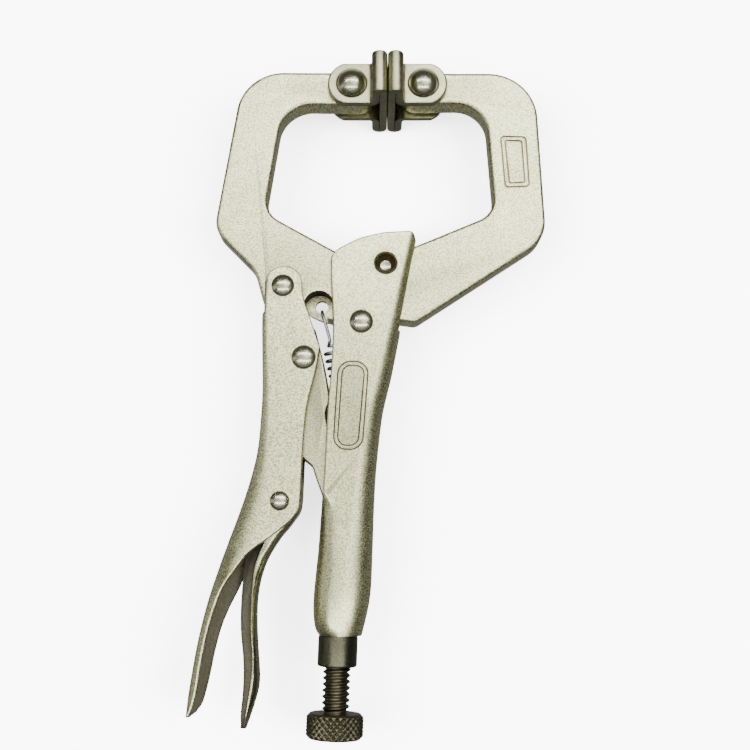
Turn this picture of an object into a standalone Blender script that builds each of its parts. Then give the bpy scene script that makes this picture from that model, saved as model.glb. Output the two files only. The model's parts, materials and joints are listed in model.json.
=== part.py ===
"""Locking C clamp with swivel pads, six inch class, closed and locked, lying on its back face.

Frame: metres, +Y along the clamp towards the jaws, +X towards the fixed jaw, +Z up from the
surface it lies on. Plan points below are in millimetres from the jaw pivot, and heights are
in millimetres from the middle plane of the clamp.
"""
from math import atan2, cos, pi, radians, sin, tan

import bmesh
import bpy
from mathutils import Matrix, Vector

MM = 0.001
GAP = 0.3                       # clearance between neighbouring pieces
JAW_PIVOT = (-2.9, 13.78)       # where the jaw pivot stands in the part's frame
MID_PLANE = 11.63               # height of the middle plane over the surface

# Rivet shanks
JAW_SHANK = 2.4
TOGGLE_SHANK = 2.2
LEVER_SHANK = 1.6
PAD_SHANK = 1.75

# Pivots in plan
HANDLE_PIVOT = (-17.7, 8.3)
LINK_PIVOT = (-12.8, -8.2)
LEVER_PIVOT = (-17.6, -40.0)
STAKE_PLACE = (5.5, 13.6)        # where the cheeks are staked to the fixed jaw
PAD_SPACING = 8.4               # pad pivot to the plane where the pads meet
PAD_MEETING_X = 6.0
PAD_Y = 57.4
MOVING_PAD_PIVOT = (PAD_MEETING_X - PAD_SPACING, PAD_Y)
FIXED_PAD_PIVOT = (PAD_MEETING_X + PAD_SPACING, PAD_Y)

# Thicknesses, as half heights over the middle plane
JAW_HALF = 3.0
LINK_HALF = 2.5
LEVER_HALF = 3.0
SHEET = 1.7
CHEEK_IN = JAW_HALF + GAP
CHEEK_OUT = CHEEK_IN + SHEET
LEVER_SHEET = 1.3
PAD_SHEET = 1.75
PAD_HALF_WIDTH = 11.6
PAD_HEIGHT = 10.0
FAR = 30.0                      # reach of a cutter that passes right through
WELD = 0.00003                  # metres; points closer than this become one

# Screw, along its own leaning axis
SCREW_TOP = (-4.08, -45.4)
SCREW_LEAN = radians(1.93)
SHANK_RADIUS = 2.75
SCREW_TIP_START = 0.85          # distances along the axis from SCREW_TOP, outwards
SCREW_TIP_LENGTH = 2.05
SCREW_TIP_RADIUS = 1.9
SCREW_POINT_RADIUS = 1.1
SCREW_POINT_CONE = 0.8
KNOB_START = 39.2
KNOB_LENGTH = 5.2
KNOB_RADIUS = 6.15
BUSHING_START = 14.0
NECK_START = 22.9
NECK_END = 29.7
NECK_RADIUS = 4.25
BUSHING_RADIUS = 3.75

STEEL = (0.52, 0.51, 0.45)
COLOURS = {
    "satin_steel": (STEEL, 0.42),
    "rivet_steel": ((0.47, 0.46, 0.42), 0.3),
    "pad_steel": ((0.42, 0.41, 0.37), 0.32),
    "dark_steel": ((0.25, 0.23, 0.19), 0.4),
    "spring_wire": ((0.3, 0.33, 0.36), 0.3),
}


def clear_scene():
    for thing in list(bpy.data.objects):
        bpy.data.objects.remove(thing, do_unlink=True)


def make_collections():
    for name in ("locking_c_clamp", "cutters"):
        group = bpy.data.collections.get(name) or bpy.data.collections.new(name)
        if name not in bpy.context.scene.collection.children:
            bpy.context.scene.collection.children.link(group)


def world(x, y, z=0.0):
    """A plan point and height as a point of the part's frame."""
    return Vector(((x + JAW_PIVOT[0]) * MM, (y + JAW_PIVOT[1]) * MM, (z + MID_PLANE) * MM))


# ---------------------------------------------------------------- outlines

def arc(centre, radius, start, end, steps):
    """Points of an arc, angles in degrees."""
    turn = [radians(start + (end - start) * i / steps) for i in range(steps + 1)]
    return [(centre[0] + radius * cos(a), centre[1] + radius * sin(a)) for a in turn]


def rounded(corners, step=15.0):
    """A closed outline from corners (x, y, radius), each rounded by an arc of its radius."""
    points = []
    count = len(corners)
    for i, (x, y, radius) in enumerate(corners):
        if radius <= 0:
            points.append((x, y))
            continue
        here = Vector((x, y))
        before = (Vector(corners[i - 1][:2]) - here).normalized()
        after = (Vector(corners[(i + 1) % count][:2]) - here).normalized()
        half = before.angle(after) / 2
        middle = here + (before + after).normalized() * (radius / sin(half))
        start = here + before * (radius / tan(half)) - middle
        end = here + after * (radius / tan(half)) - middle
        sweep = atan2(start.cross(end), start.dot(end))
        parts = max(1, round(abs(sweep) / radians(step)))
        for k in range(parts + 1):
            turned = start.copy()
            turned.rotate(Matrix.Rotation(sweep * k / parts, 2))
            points.append(tuple(middle + turned))
    return points


# ---------------------------------------------------------------- solids

def finish_mesh(name, mesh, matrix, group):
    piece = bpy.data.objects.new(name, mesh)
    piece.matrix_world = matrix
    bpy.data.collections[group].objects.link(piece)
    if group == "cutters":
        piece.hide_render = True
        piece.display_type = "WIRE"
    return piece


def plate(name, outline, low, high, pivot=(0, 0), group="locking_c_clamp"):
    """A flat solid of the outline between two heights, with its origin on the pivot."""
    curve = bpy.data.curves.new(name, "CURVE")
    curve.dimensions = "2D"
    curve.fill_mode = "BOTH"
    curve.extrude = (high - low) / 2 * MM
    spline = curve.splines.new("POLY")
    spline.points.add(len(outline) - 1)
    spline.use_cyclic_u = True
    for point, (x, y) in zip(spline.points, outline):
        point.co = ((x - pivot[0]) * MM, (y - pivot[1]) * MM, 0, 1)
    holder = bpy.data.objects.new(name + "_outline", curve)
    bpy.context.scene.collection.objects.link(holder)
    bpy.context.view_layer.update()
    view = holder.evaluated_get(bpy.context.evaluated_depsgraph_get())
    mesh = bpy.data.meshes.new_from_object(view)
    bpy.data.objects.remove(holder, do_unlink=True)
    model = bmesh.new()
    model.from_mesh(mesh)
    bmesh.ops.remove_doubles(model, verts=model.verts, dist=WELD)
    inside_caps = [edge for edge in model.edges
                   if all(abs(face.normal.z) > 0.99 for face in edge.link_faces)]
    bmesh.ops.dissolve_edges(model, edges=inside_caps, use_verts=False)
    bmesh.ops.recalc_face_normals(model, faces=model.faces)
    bmesh.ops.translate(model, verts=model.verts, vec=(0, 0, (low + high) / 2 * MM))
    model.to_mesh(mesh)
    model.free()
    return finish_mesh(name, mesh, Matrix.Translation(world(*pivot)), group)


def round_edges(piece, radius, segments, chosen=lambda x, y: True):
    """Round the rims of a plate's two faces where chosen(x, y), in plan, says so."""
    model = bmesh.new()
    model.from_mesh(piece.data)
    place = piece.matrix_world.translation
    rims = []
    for edge in model.edges:
        heights = {round(v.co.z, 7) for v in edge.verts}
        flat = len(heights) == 1 and edge.calc_length() > 0
        meets_side = any(abs(face.normal.z) < 0.1 for face in edge.link_faces)
        meets_top = any(abs(face.normal.z) > 0.9 for face in edge.link_faces)
        centre = (edge.verts[0].co + edge.verts[1].co) / 2 + place
        x = centre.x / MM - JAW_PIVOT[0]
        y = centre.y / MM - JAW_PIVOT[1]
        if flat and meets_side and meets_top and chosen(x, y):
            rims.append(edge)
    bmesh.ops.bevel(model, geom=rims, offset=radius * MM, segments=segments, profile=0.5,
                    affect="EDGES", clamp_overlap=False)
    bmesh.ops.triangulate(model, faces=model.faces)
    model.to_mesh(piece.data)
    model.free()


def cylinder(name, centre, radius, low, high, vertices=24, group="cutters"):
    """An upright round solid."""
    mesh = bpy.data.meshes.new(name)
    model = bmesh.new()
    bmesh.ops.create_cone(model, cap_ends=True, segments=vertices, radius1=radius * MM,
                          radius2=radius * MM, depth=(high - low) * MM)
    model.to_mesh(mesh)
    model.free()
    return finish_mesh(name, mesh, Matrix.Translation(world(*centre, (low + high) / 2)), group)


def screw_matrix(distance):
    """A frame on the screw's axis, its own +Z pointing outwards from the clamp."""
    outwards = Vector((-sin(SCREW_LEAN), -cos(SCREW_LEAN), 0))
    place = world(*SCREW_TOP) + outwards * distance * MM
    across = Vector((0, 0, 1))
    side = outwards.cross(across)
    turn = Matrix((across, side, outwards)).transposed()
    return Matrix.Translation(place) @ turn.to_4x4()


def turned(name, profile, matrix, steps=24, group="locking_c_clamp", closed=False):
    """A turned solid from (radius, height) points that run down the outer side.

    closed joins the last point to the first, for a ring that has a bore.
    """
    mesh = bpy.data.meshes.new(name)
    edges = [(i, i + 1) for i in range(len(profile) - 1)]
    if closed:
        edges.append((len(profile) - 1, 0))
    mesh.from_pydata([(r * MM, 0, z * MM) for r, z in profile], edges, [])
    piece = finish_mesh(name, mesh, matrix, group)
    spin = piece.modifiers.new("turn", "SCREW")
    spin.steps = steps
    spin.render_steps = steps
    spin.use_merge_vertices = True
    spin.merge_threshold = 0.000002
    return piece


def boolean(piece, tool, operation="DIFFERENCE"):
    cut = piece.modifiers.new(tool.name, "BOOLEAN")
    cut.operation = operation
    cut.solver = "EXACT"
    cut.object = tool


def drill(piece, name, centre, radius, low=-FAR, high=FAR, vertices=24):
    boolean(piece, cylinder(name, centre, radius, low, high, vertices))


# ---------------------------------------------------------------- jaws

def fixed_jaw():
    """The right arm of the C, with a stem that sits in the fixed handle's channel."""
    corners = [
        (9.0, 61.1, 3.8), (41.0, 61.1, 12.0), (42.5, 20.0, 9.0), (12.3, 0.1, 2.2),
        (7.7, 0.8, 0.8), (6.9, 2.4, 1.0), (5.0, 6.4, 3.0), (0.0, 11.5, 2.0), (-1.6, 18.4, 0.8),
        (11.5, 18.0, 0.5), (30.7, 26.2, 5.5), (29.0, 53.3, 7.5), (9.0, 53.2, 3.8),
    ]
    jaw = plate("fixed_jaw", rounded(corners), -JAW_HALF, JAW_HALF)
    round_edges(jaw, 0.8, 1, lambda x, y: x > 13.5)
    drill(jaw, "fixed_pad_hole", FIXED_PAD_PIVOT, PAD_SHANK + GAP)
    for side in (-1, 1):
        low, high = sorted((side * 1.2, side * FAR))
        drill(jaw, "stake_seat", STAKE_PLACE, 2.9, low, high)
    return jaw


def movable_jaw():
    """The left arm of the C, from its pad pivot to the hub on the jaw pivot."""
    corners = [
        (3.0, 61.2, 3.8), (-28.0, 61.4, 11.0), (-34.0, 22.2, 6.5), (-24.4, 12.4, 7.0),
        (-21.6, 2.6, 3.2), (-14.6, 3.9, 2.0), (-5.2, 0.6, 0.3), (-5.2, -5.2, 5.0),
        (5.2, -5.2, 5.0), (5.2, 3.6, 4.2), (-2.4, 10.4, 3.0), (-2.8, 15.3, 1.5),
        (-22.4, 26.4, 5.5), (-18.4, 53.1, 8.0), (3.0, 52.9, 3.8),
    ]
    jaw = plate("movable_jaw", rounded(corners), -JAW_HALF, JAW_HALF)
    round_edges(jaw, 0.8, 1, lambda x, y: x < -6.5 and y > 13)
    drill(jaw, "moving_pad_hole", MOVING_PAD_PIVOT, PAD_SHANK + GAP)
    drill(jaw, "jaw_pivot_hole", (0, 0), JAW_SHANK + GAP)
    drill(jaw, "handle_pivot_hole", HANDLE_PIVOT, TOGGLE_SHANK + GAP)
    drill(jaw, "spring_recess", (-9.9, 4.8), 3.5, -1.6, FAR)
    drill(jaw, "spring_hole", (-9.1, 4.6), 1.35)
    return jaw


# ---------------------------------------------------------------- fixed handle

def fixed_handle():
    """A pressed channel: two cheeks joined by a web on the right, rolled to a tube lower down."""
    left = [(-7.0, 11.0), (-6.4, 1.0), (-7.1, -14.0), (-8.0, -34.0), (-9.2, -49.5), (-10.3, -61.5)]
    right = [(2.2, -56.0), (3.0, -38.0), (4.7, -20.5), (9.2, 0.5), (10.9, 11.0)]
    corners = [(-6.85, 17.05, 4.0), *((x, y, 8.0) for x, y in left), (-9.6, -68.4, 1.2),
               (-0.5, -68.7, 1.2), *((x, y, 8.0) for x, y in right), (11.7, 21.4, 1.5)]
    handle = plate("fixed_handle", rounded(corners, 30), -CHEEK_OUT, CHEEK_OUT)
    round_edges(handle, 2.8, 3, lambda x, y: -66 < y < 0 and (x > -3 or y < -40))
    pocket = [(-FAR, FAR, 0), (-FAR, -47.0, 0), (-7.0, -48.5, 1.0), (-7.6, -57.4, 1.0),
              (0.6, -57.4, 1.0), *((x - SHEET, y, 6.0) for x, y in right[1:3]),
              (7.0, -1.5, 0.5), (FAR, -1.5, 0), (FAR, FAR, 0)]
    boolean(handle, plate("handle_pocket", rounded(pocket, 30), -CHEEK_IN, CHEEK_IN, group="cutters"))
    bore = turned("bushing_seat", [(0, 8.0), (BUSHING_RADIUS + GAP, 8.0),
                                   (BUSHING_RADIUS + GAP, -10.0), (0, -10.0)],
                  screw_matrix(20.0), 24, "cutters")
    boolean(handle, bore)
    for side in (-1, 1):
        dimple = stake_dimple(side)
        boolean(handle, dimple)
    drill(handle, "jaw_rivet_hole", (0, 0), JAW_SHANK + GAP)
    lug = plate("spring_lug", [(-1.9, -26.0), (3.4, -26.0), (3.4, -24.9), (-1.9, -24.9)], -0.7, 0.7,
                group="cutters")
    boolean(handle, lug, "UNION")
    return handle


def stake_dimple(side):
    """The punched hole that locks a cheek on the fixed jaw, wider at its mouth."""
    profile = [(0, CHEEK_OUT + 1), (2.45, CHEEK_OUT + 1), (2.45, CHEEK_OUT - 0.3),
               (1.5, CHEEK_IN - 1), (0, CHEEK_IN - 1)]
    turn = Matrix.Rotation(pi, 4, "X") if side < 0 else Matrix()
    place = Matrix.Translation(world(*STAKE_PLACE))
    return turned("stake_dimple", profile, place @ turn, 24, "cutters")


# ---------------------------------------------------------------- moving handle and its parts

def movable_handle():
    """A pressed channel open to the right, its cheeks round the jaw at the top."""
    left = [(-22.2, 0.0), (-22.0, -15.0), (-22.5, -28.0), (-25.3, -39.0), (-31.5, -56.0),
            (-34.8, -70.0), (-36.6, -83.0)]
    right = [(-35.0, -83.0), (-33.2, -70.0), (-30.6, -60.5), (-24.5, -50.6), (-14.2, -45.0),
             (-13.8, -36.5), (-12.0, -19.0), (-9.0, -6.5), (-12.3, 3.0)]
    corners = [(-22.0, 13.0, 4.2), *((x, y, 6.0) for x, y in left[:5]), (*left[5], 10.0),
               (*left[6], 0.5), (*right[0], 0.5), (*right[1], 10.0), (*right[2], 8.0),
               (*right[3], 8.0), (*right[4], 3.6), *((x, y, 5.0) for x, y in right[5:]),
               (-13.4, 13.0, 4.2)]
    handle = plate("movable_handle", rounded(corners, 30), -CHEEK_OUT, CHEEK_OUT, HANDLE_PIVOT)
    round_edges(handle, 1.3, 2, lambda x, y: -54 < y < 0 and x < -20 + 0.24 * min(0, 20 + y))
    pocket = [(-30.0, FAR, 0), (-30.0, 0.6, 0), (-20.5, 0.6, 0.5),
              *((x + SHEET + 0.1, y, 5.0) for x, y in left[1:4]), (-29.6, -56.0, 0.8),
              (FAR, -58.5, 0), (FAR, FAR, 0)]
    cutter = plate("movable_pocket", rounded(pocket, 30), -CHEEK_IN, CHEEK_IN, group="cutters")
    boolean(handle, cutter)
    drill(handle, "handle_rivet_hole", HANDLE_PIVOT, TOGGLE_SHANK + GAP)
    drill(handle, "link_rivet_hole", LINK_PIVOT, TOGGLE_SHANK + GAP)
    drill(handle, "lever_rivet_hole", LEVER_PIVOT, LEVER_SHANK + GAP)
    return handle


def toggle_link():
    """The flat bar that carries the closing force to the screw."""
    corners = [
        (-10.9, -0.4, 0.8), (-9.4, -6.4, 2.0), (-7.0, -15.8, 1.0), (-8.2, -19.5, 3.0),
        (-6.8, -25.0, 2.0), (-2.0, -38.0, 4.0), (-2.1, -43.9, 2.0), (-6.6, -43.9, 2.0),
        (-9.9, -35.0, 4.0), (-10.8, -32.2, 1.5), (-13.3, -30.2, 0.8), (-14.6, -22.0, 4.0),
        (-17.2, -9.0, 4.0), (-15.8, -4.4, 2.5),
    ]
    link = plate("toggle_link", rounded(corners), -LINK_HALF, LINK_HALF, LINK_PIVOT)
    drill(link, "link_hole", LINK_PIVOT, TOGGLE_SHANK + GAP)
    return link


def release_lever():
    """The small channel that frees the lock, with its web on the right."""
    right = [(-24.0, -87.9), (-22.0, -80.5), (-21.4, -76.5), (-22.3, -65.0), (-21.7, -56.5),
             (-17.4, -47.7), (-13.4, -43.0), (-13.0, -36.9), (-13.7, -31.7)]
    left = [(-15.0, -31.0), (-20.0, -36.5), (-21.3, -42.0), (-20.2, -46.5), (-25.3, -54.0),
            (-25.7, -62.0), (-24.9, -74.0), (-24.7, -80.0), (-25.9, -87.6)]
    outline = rounded([(*right[0], 0.4), *((x, y, 5.0) for x, y in right[1:5]),
                       *((x, y, 3.0) for x, y in right[5:8]), (*right[8], 0.6), (*left[0], 0.6),
                       *((x, y, 2.5) for x, y in left[1:4]), (*left[4], 3.0),
                       *((x, y, 6.0) for x, y in left[5:8]), (*left[8], 0.4)], 30)
    lever = plate("release_lever", outline, -LEVER_HALF, LEVER_HALF, LEVER_PIVOT)
    inner = [(x - LEVER_SHEET, y) for x, y in right[1:8]]
    pocket = [(-FAR, -80.0, 0), (inner[0][0], -80.0, 0), *((x, y, 3.0) for x, y in inner[1:]),
              (-14.8, -28.0, 0), (-FAR, -28.0, 0)]
    reach = LEVER_HALF - LEVER_SHEET
    boolean(lever, plate("lever_pocket", rounded(pocket, 30), -reach, reach, group="cutters"))
    drill(lever, "lever_hole", LEVER_PIVOT, LEVER_SHANK + GAP)
    return lever


# ---------------------------------------------------------------- rivets

def rivet(name, pivot, shank, head, seat, rise):
    """A rivet with a domed head on each side of what it holds."""
    under = seat + GAP
    dome = [(head * sin(radians(a)), under + 0.25 + rise * cos(radians(a))) for a in (0, 30, 60, 90)]
    upper = [*dome, (head, under), (shank, under)]
    profile = upper + [(r, -z) for r, z in reversed(upper)]
    return turned(name, profile, Matrix.Translation(world(*pivot)), 20)


def rivets():
    return [
        rivet("jaw_pivot_rivet", (0, 0), JAW_SHANK, 2.5, CHEEK_OUT, 1.0),
        rivet("handle_rivet", HANDLE_PIVOT, TOGGLE_SHANK, 2.4, CHEEK_OUT, 1.0),
        rivet("link_rivet", LINK_PIVOT, TOGGLE_SHANK, 2.55, CHEEK_OUT, 1.0),
        rivet("lever_rivet", LEVER_PIVOT, LEVER_SHANK, 2.0, CHEEK_OUT, 0.8),
        rivet("moving_pad_rivet", MOVING_PAD_PIVOT, PAD_SHANK, 3.05, CHEEK_IN + PAD_SHEET, 1.5),
        rivet("fixed_pad_rivet", FIXED_PAD_PIVOT, PAD_SHANK, 3.05, CHEEK_IN + PAD_SHEET, 1.5),
    ]


# ---------------------------------------------------------------- pads

def pad(name, pivot, side):
    """One bent sheet: a face plate hemmed at front and back, and an ear on each side of the jaw.

    side is +1 where the pad lies on the +X side of the plane where the pads meet.
    """
    half_sheet = PAD_SHEET / 2
    face = PAD_SPACING - GAP / 2 - half_sheet
    leg = face - PAD_SHEET - 0.2
    bend = (face - leg) / 2
    ear = CHEEK_IN + half_sheet
    turn = half_sheet + 0.4
    fold_height = PAD_HALF_WIDTH - half_sheet - bend
    half = [(-5.6, ear), (leg - turn, ear)]
    half += [(leg - turn + turn * sin(radians(a)), ear + turn - turn * cos(radians(a)))
             for a in (30, 60, 90)]
    half += [(leg + bend - bend * cos(radians(a)), fold_height + bend * sin(radians(a)))
             for a in range(0, 181, 30)]
    path = half + [(x, -z) for x, z in reversed(half)]
    mesh = bpy.data.meshes.new(name)
    top, bottom = PAD_HEIGHT / 2 * MM, -PAD_HEIGHT / 2 * MM
    points = [(-side * x * MM, y, z * MM) for y in (bottom, top) for x, z in path]
    count = len(path)
    faces = [(i, i + 1, count + i + 1, count + i) for i in range(count - 1)]
    mesh.from_pydata(points, [], faces)
    piece = finish_mesh(name, mesh, Matrix.Translation(world(*pivot)), "locking_c_clamp")
    shell = piece.modifiers.new("sheet", "SOLIDIFY")
    shell.thickness = PAD_SHEET * MM
    shell.offset = 0
    shell.use_even_offset = True
    outline = [(x, y) for x, y in arc((0, 0), PAD_HEIGHT / 2 - 0.1, 90, 270, 8)]
    outline += [(FAR, -PAD_HEIGHT / 2 - 1), (FAR, PAD_HEIGHT / 2 + 1), (0, PAD_HEIGHT / 2 + 1)]
    trimmed = [(pivot[0] - side * x, pivot[1] + y) for x, y in outline]
    trim = plate(name + "_trim", trimmed, -FAR, FAR, pivot, "cutters")
    boolean(piece, trim, "INTERSECT")
    drill(piece, name + "_hole", pivot, PAD_SHANK + GAP)
    return piece


# ---------------------------------------------------------------- screw, bushing and spring

def screw_parts():
    tip_end = SCREW_TIP_START + SCREW_TIP_LENGTH
    point = [(0, SCREW_TIP_LENGTH), (SCREW_TIP_RADIUS, SCREW_TIP_LENGTH),
             (SCREW_TIP_RADIUS, SCREW_POINT_CONE), (SCREW_POINT_RADIUS, 0), (0, 0)]
    tip = turned("screw_tip", point, screw_matrix(SCREW_TIP_START), 20)
    start = tip_end + GAP
    length = KNOB_START - GAP - start
    shank = [(0, length), (SHANK_RADIUS - 0.5, length), (SHANK_RADIUS - 0.5, length - 1.6),
             (SHANK_RADIUS, length - 2.1), (SHANK_RADIUS, 0.6), (SHANK_RADIUS - 0.6, 0), (0, 0)]
    screw = turned("adjusting_screw", shank, screw_matrix(start), 24)
    edge = 0.7
    knob = [(0, KNOB_LENGTH), (KNOB_RADIUS - edge, KNOB_LENGTH), (KNOB_RADIUS, KNOB_LENGTH - edge),
            (KNOB_RADIUS, edge), (KNOB_RADIUS - edge, 0), (0, 0)]
    head = turned("screw_knob", knob, screw_matrix(KNOB_START), 32)
    bore = SHANK_RADIUS + GAP
    neck = NECK_END - BUSHING_START
    step = NECK_START + GAP - BUSHING_START
    ring = [(bore, neck), (NECK_RADIUS, neck), (NECK_RADIUS, step), (BUSHING_RADIUS, step),
            (BUSHING_RADIUS, 0), (bore, 0)]
    bushing = turned("threaded_bushing", ring, screw_matrix(BUSHING_START), 24, closed=True)
    return [tip, screw, head, bushing]


def tension_spring():
    """A close coil in the mouth of the fixed handle, hooked to the movable jaw at its top."""
    radius, wire, turns, per_turn = 1.95, 0.33, 12, 10
    top = Vector((-6.7, -5.6, -0.6))
    bottom = Vector((-2.6, -23.0, 0.0))
    along = (bottom - top).normalized()
    side = along.cross(Vector((0, 0, 1))).normalized()
    lift = side.cross(along)
    points = [Vector((-9.0, 5.6, -3.6)), Vector((-9.1, 4.4, -3.9)), Vector((-9.1, 3.9, -3.4)),
              Vector((-9.0, 3.7, -1.0)), Vector((-8.4, 0.5, -0.6)), Vector((-7.6, -2.4, -0.6)),
              Vector((-7.5, -4.2, -0.6))]
    for i in range(turns * per_turn + 1):
        share = i / (turns * per_turn)
        angle = 2 * pi * i / per_turn + pi
        across = side * cos(angle) + lift * sin(angle)
        points.append(top + (bottom - top) * share - across * radius * (1 if i else 0.6))
    points += [Vector((-1.6, -24.1, 1.2)), Vector((-1.2, -25.4, 1.4)), Vector((-1.2, -26.7, 0.8)),
               Vector((-1.2, -26.9, -0.6)), Vector((-1.2, -26.0, -1.3))]
    curve = bpy.data.curves.new("tension_spring", "CURVE")
    curve.dimensions = "3D"
    curve.bevel_depth = wire * MM
    curve.bevel_resolution = 2
    curve.use_fill_caps = True
    spline = curve.splines.new("POLY")
    spline.points.add(len(points) - 1)
    for point, place in zip(spline.points, points):
        point.co = (*(place * MM), 1)
    spring = bpy.data.objects.new("tension_spring", curve)
    spring.location = world(0, 0)
    bpy.data.collections["locking_c_clamp"].objects.link(spring)
    return spring


# ---------------------------------------------------------------- finish and build

FINISHES = {
    "satin_steel": ["fixed_jaw", "movable_jaw", "fixed_handle", "movable_handle", "toggle_link",
                    "release_lever", "threaded_bushing"],
    "rivet_steel": ["jaw_pivot_rivet", "handle_rivet", "link_rivet", "lever_rivet",
                    "moving_pad_rivet", "fixed_pad_rivet"],
    "pad_steel": ["moving_pad", "fixed_pad"],
    "dark_steel": ["adjusting_screw", "screw_knob", "screw_tip"],
    "spring_wire": ["tension_spring"],
}


def weld(piece):
    """Take out the slivers that the cuts leave."""
    merge = piece.modifiers.new("weld", "WELD")
    merge.merge_threshold = WELD


def paint(name, finish):
    colour, roughness = COLOURS[finish]
    material = bpy.data.materials.new(name + "_" + finish)
    material.use_nodes = True
    shader = material.node_tree.nodes["Principled BSDF"]
    shader.inputs["Base Color"].default_value = (*colour, 1)
    shader.inputs["Metallic"].default_value = 1.0
    shader.inputs["Roughness"].default_value = roughness
    material.diffuse_color = (*colour, 1)
    piece = bpy.data.objects[name]
    piece.data.materials.clear()
    piece.data.materials.append(material)
    if piece.type == "MESH":
        piece.data.shade_smooth()
        piece.data.set_sharp_from_angle(angle=radians(35))


def parent_to_pivots():
    """An empty on each joint's axis carries the pieces that turn or slide there."""
    groups = {
        "jaw_open_axis": (world(0, 0), ["movable_jaw", "moving_pad_rivet"]),
        "handle_swing_axis": (world(*HANDLE_PIVOT),
                              ["movable_handle", "handle_rivet", "link_rivet", "lever_rivet"]),
        "link_swing_axis": (world(*LINK_PIVOT), ["toggle_link"]),
        "lever_press_axis": (world(*LEVER_PIVOT), ["release_lever"]),
        "moving_pad_axis": (world(*MOVING_PAD_PIVOT), ["moving_pad"]),
        "fixed_pad_axis": (world(*FIXED_PAD_PIVOT), ["fixed_pad"]),
        "screw_axis": (screw_matrix(0).translation, ["screw_tip", "adjusting_screw", "screw_knob"]),
    }
    for name, (place, members) in groups.items():
        axis = bpy.data.objects.new(name, None)
        axis.location = place
        axis.empty_display_size = 0.005
        bpy.data.collections["locking_c_clamp"].objects.link(axis)
        bpy.context.view_layer.update()
        for member in members:
            piece = bpy.data.objects[member]
            piece.parent = axis
            piece.matrix_parent_inverse = axis.matrix_world.inverted()


def build():
    clear_scene()
    make_collections()
    fixed_jaw()
    movable_jaw()
    fixed_handle()
    movable_handle()
    toggle_link()
    release_lever()
    rivets()
    pad("moving_pad", MOVING_PAD_PIVOT, -1)
    pad("fixed_pad", FIXED_PAD_PIVOT, 1)
    screw_parts()
    tension_spring()
    for name in ("fixed_jaw", "movable_jaw", "fixed_handle", "movable_handle", "toggle_link",
                 "release_lever"):
        weld(bpy.data.objects[name])
    for finish, names in FINISHES.items():
        for name in names:
            paint(name, finish)
    parent_to_pivots()


build()
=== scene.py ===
import json
from math import atan2, ceil, copysign, cos, pi, radians, sin, tan

import bmesh
import bpy
from mathutils import Matrix, Vector


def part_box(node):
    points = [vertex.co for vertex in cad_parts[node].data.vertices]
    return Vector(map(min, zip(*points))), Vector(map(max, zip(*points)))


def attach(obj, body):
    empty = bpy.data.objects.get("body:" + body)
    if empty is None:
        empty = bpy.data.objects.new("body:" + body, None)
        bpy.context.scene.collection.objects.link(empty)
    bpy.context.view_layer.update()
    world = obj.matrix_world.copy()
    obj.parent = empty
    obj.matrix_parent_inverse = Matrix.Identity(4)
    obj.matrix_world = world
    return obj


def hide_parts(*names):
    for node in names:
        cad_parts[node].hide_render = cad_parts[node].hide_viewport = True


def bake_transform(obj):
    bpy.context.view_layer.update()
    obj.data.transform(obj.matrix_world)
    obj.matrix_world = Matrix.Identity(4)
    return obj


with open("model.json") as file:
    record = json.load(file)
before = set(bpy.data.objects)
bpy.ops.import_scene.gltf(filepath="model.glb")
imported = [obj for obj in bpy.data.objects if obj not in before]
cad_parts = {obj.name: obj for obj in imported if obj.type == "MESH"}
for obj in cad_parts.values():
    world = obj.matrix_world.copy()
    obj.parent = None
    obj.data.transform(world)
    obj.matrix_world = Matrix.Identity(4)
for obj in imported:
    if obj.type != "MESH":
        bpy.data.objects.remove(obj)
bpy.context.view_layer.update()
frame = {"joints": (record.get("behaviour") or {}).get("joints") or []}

MM = 0.001
JOINTS = {joint["name"]: joint for joint in frame["joints"]}
PIVOT = Vector(JOINTS["jaw_open"]["pos_m"])     # the jaw pivot, on the clamp's middle plane

FAR = 40.0              # beyond every outline, in millimetres as all sizes here
HAIR = 0.01             # by which a trimming outline stands clear of the faces that it follows


def half_height(node):
    """How far a node stands out from the middle plane."""
    return (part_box(node)[1][2] - PIVOT.z) / MM


JAW_HALF = half_height("fixed_jaw")
CHEEK_OUT = half_height("fixed_handle")
LINK_HALF = half_height("toggle_link")
LEVER_HALF = half_height("release_lever")
PAD_HALF = half_height("fixed_pad")
SHEET = 1.7             # of both handles
TAIL_SHEET = 1.15       # of the movable handle's tail, drawn thinner
LEVER_SHEET = 1.3
PAD_SHEET = 1.75
CHEEK_IN = CHEEK_OUT - SHEET
PAD_CREASE = 0.075      # half the gap left inside the pad's hem
PAD_TURN = 0.7          # outer radius of the bend from the pad's ear to its hem
PAD_RIM = [(5.0, 0.35), (4.9, 0.12), (4.65, 0.0)]   # rounding of its ends as (y, inset) rows
PAD_EAR_TIP = -6.4      # from the pivot, away from the face
PAD_GAP = 0.04          # from a pad's face to the middle between the jaws, closed
RECESS = (-9.65, 4.2)   # centre of the spring's counterbore in the movable jaw
RECESS_RADIUS = 3.45
RECESS_FLOOR = -1.6
STAKE = (5.5, 13.6)     # centre of the punched stakes that hold the fixed jaw
STAKE_RADIUS = 1.45
LIP_BEAD = 0.45         # rounding of a sheet's cut edge
EDGE_RUN = 0.0016       # over which the points of the inner line opposite that rounding are spread
ARC_PARTS = 8           # of each arc in a folded section
FLAT_PARTS = 4


def plan(name):
    """A joint's place in millimetres from the jaw pivot."""
    place = (Vector(JOINTS[name]["pos_m"]) - PIVOT) / MM
    return place.x, place.y


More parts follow.
